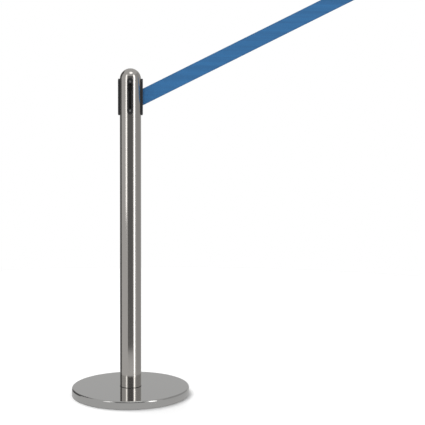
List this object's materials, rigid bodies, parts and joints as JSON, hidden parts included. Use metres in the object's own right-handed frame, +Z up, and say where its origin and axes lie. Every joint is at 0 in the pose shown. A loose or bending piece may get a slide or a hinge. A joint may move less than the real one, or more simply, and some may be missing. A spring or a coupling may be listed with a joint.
{
  "type": "retractable belt stanchion",
  "caption": "Freestanding crowd-control post: weighted round base, polished tube with a domed top, side receivers, and a blue belt drawn out of a sprung cassette.",
  "frame": {"origin": "on the floor at the centre of the base", "axes": "+Z up along the post; the belt leaves towards +X; the front receiver faces -Y"},
  "size_m": [0.946, 0.35, 1.2595],
  "materials": {
    "cast_iron": "rough, painted dark",
    "base_steel": "bright polished stainless plate",
    "rubber": "matt black rubber",
    "zinc": "zinc plated",
    "plain_steel": "turned steel",
    "polished_steel": "polished stainless steel",
    "nylon": "moulded black nylon",
    "acetal": "white acetal",
    "black_plastic": "moulded black, satin",
    "screw_steel": "bright screws",
    "brass": "turned brass",
    "spring_steel": "blued spring strip",
    "webbing": "blue woven webbing"
  },
  "bodies": {
    "post": {"base_weight": "cast_iron", "base_cover": "base_steel", "floor_ring": "rubber", "base_bolt": "zinc", "bolt_washer": "zinc", "lock_washer": "zinc", "foot_plug": "plain_steel", "foot_gasket": "rubber", "post_tube": "polished_steel", "head_tube": "polished_steel", "dome_cap": "polished_steel", "cassette_lower": "nylon", "cassette_upper": "nylon", "spool_axle": "plain_steel", "thrust_washer_lower": "acetal", "thrust_washer_upper": "acetal", "receiver_front": "black_plastic", "receiver_left": "black_plastic", "receiver_back": "black_plastic", "belt_mouth": "black_plastic", "head_screws": "screw_steel", "clock_spring": "spring_steel"},
    "spool": {"spool_core": "nylon", "spool_flange_lower": "nylon", "spool_flange_upper": "nylon", "spool_bush_lower": "brass", "spool_bush_upper": "brass", "belt_anchor_pin": "plain_steel", "spring_cup": "nylon", "spring_cover": "nylon", "belt_roll": "webbing"},
    "belt_end": {"belt": "webbing", "belt_end_front": "black_plastic", "belt_end_back": "black_plastic", "belt_end_pin": "plain_steel", "belt_end_screws": "screw_steel"}
  },
  "joints": [
    {"name": "belt_slide", "type": "slide", "parent": "post", "child": "belt_end", "axis": [0.8944, 0, 0.4472], "range_m": [-0.747, 1.252], "deforming": ["belt"]},
    {"name": "spool_spin", "type": "hinge", "parent": "post", "child": "spool", "pos_m": [0, 0, 0.888], "axis": [0, 0, 1], "range_deg": [-4265, 2546], "deforming": ["clock_spring"]}
  ],
  "couplings": [
    {"joint": "spool_spin", "follows": "belt_slide", "rad_per_m": -59.423}
  ]
}
